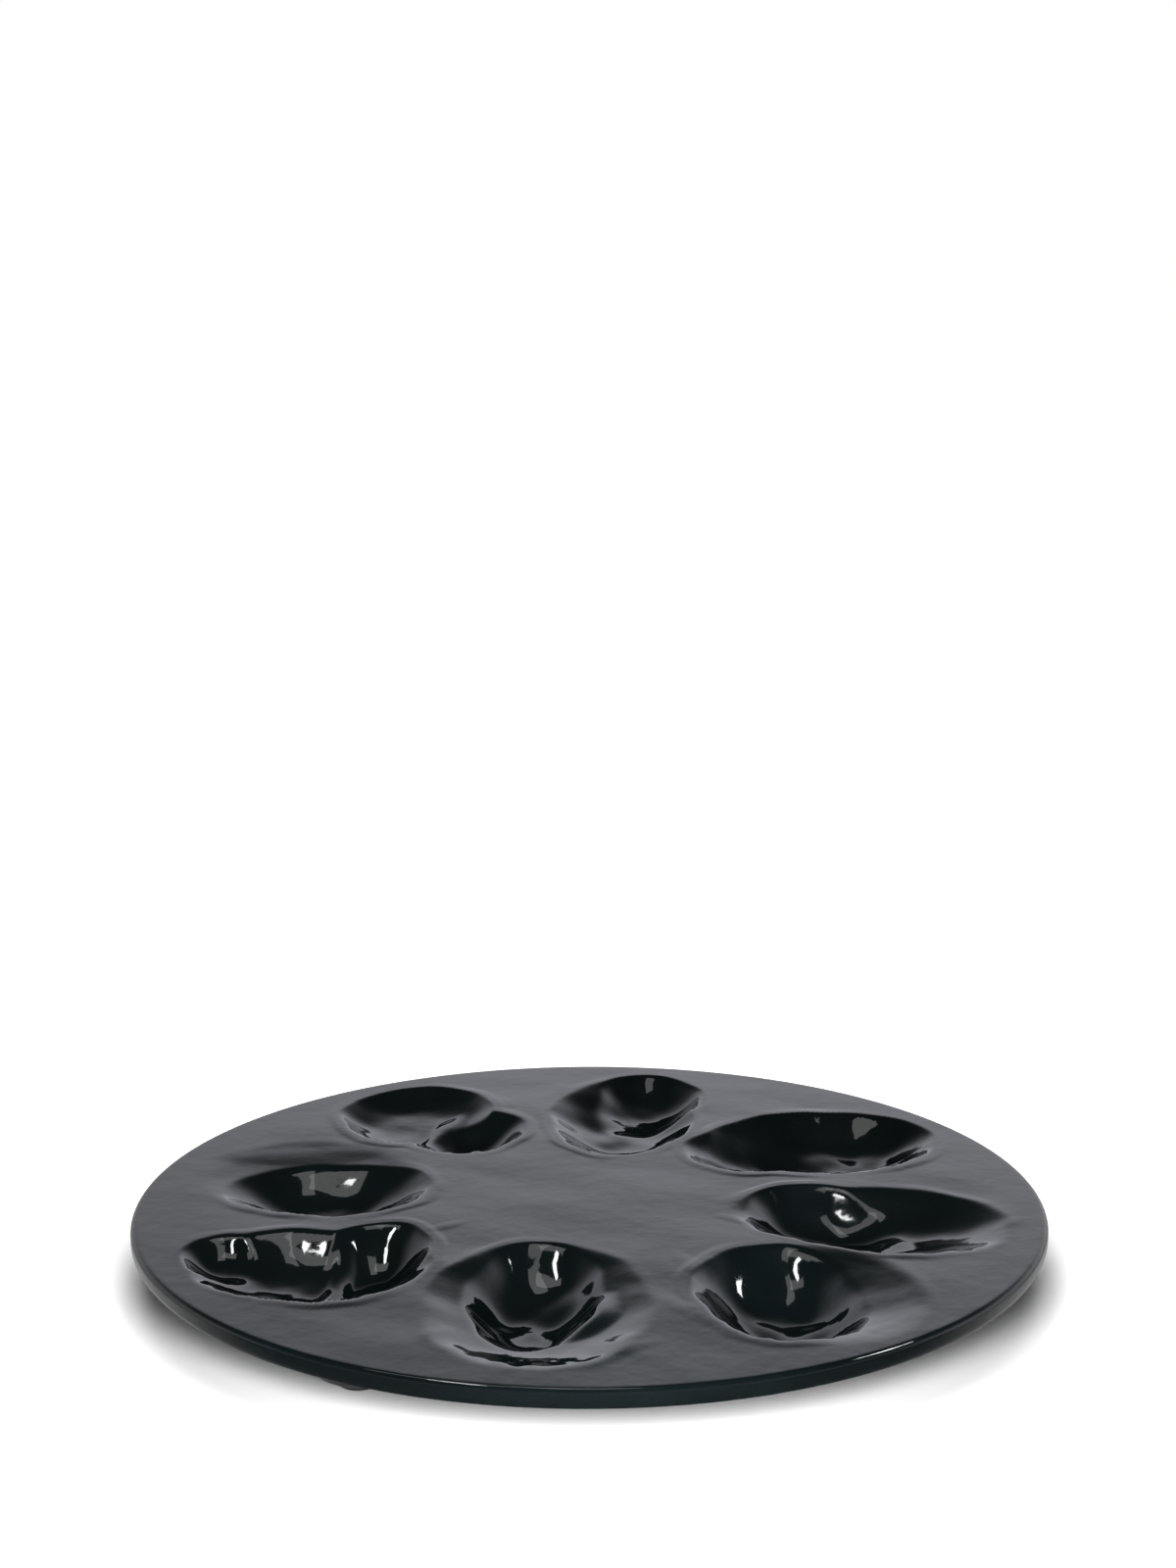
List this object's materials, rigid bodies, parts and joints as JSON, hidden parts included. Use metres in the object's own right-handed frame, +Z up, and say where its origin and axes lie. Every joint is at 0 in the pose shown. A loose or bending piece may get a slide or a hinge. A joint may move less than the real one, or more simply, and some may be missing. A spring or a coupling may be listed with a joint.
{
  "type": "oyster plate",
  "caption": "Round glazed stoneware oyster plate with shell-shaped wells around a flat middle, standing on soft foot pads.",
  "frame": {"origin": "on the table, under the middle of the plate", "axes": "+Z up through the plate, +X to the right and +Y to the back as the picture shows it"},
  "size_m": [0.33, 0.33, 0.0266],
  "materials": {
    "glaze": "glossy black glaze with a cool green cast",
    "pad": "matte dark grey"
  },
  "bodies": {
    "root": {"plate": "glaze", "foot_pad_back_right": "pad", "foot_pad_front_right": "pad", "foot_pad_front_left": "pad", "foot_pad_back_left": "pad"}
  },
  "joints": []
}
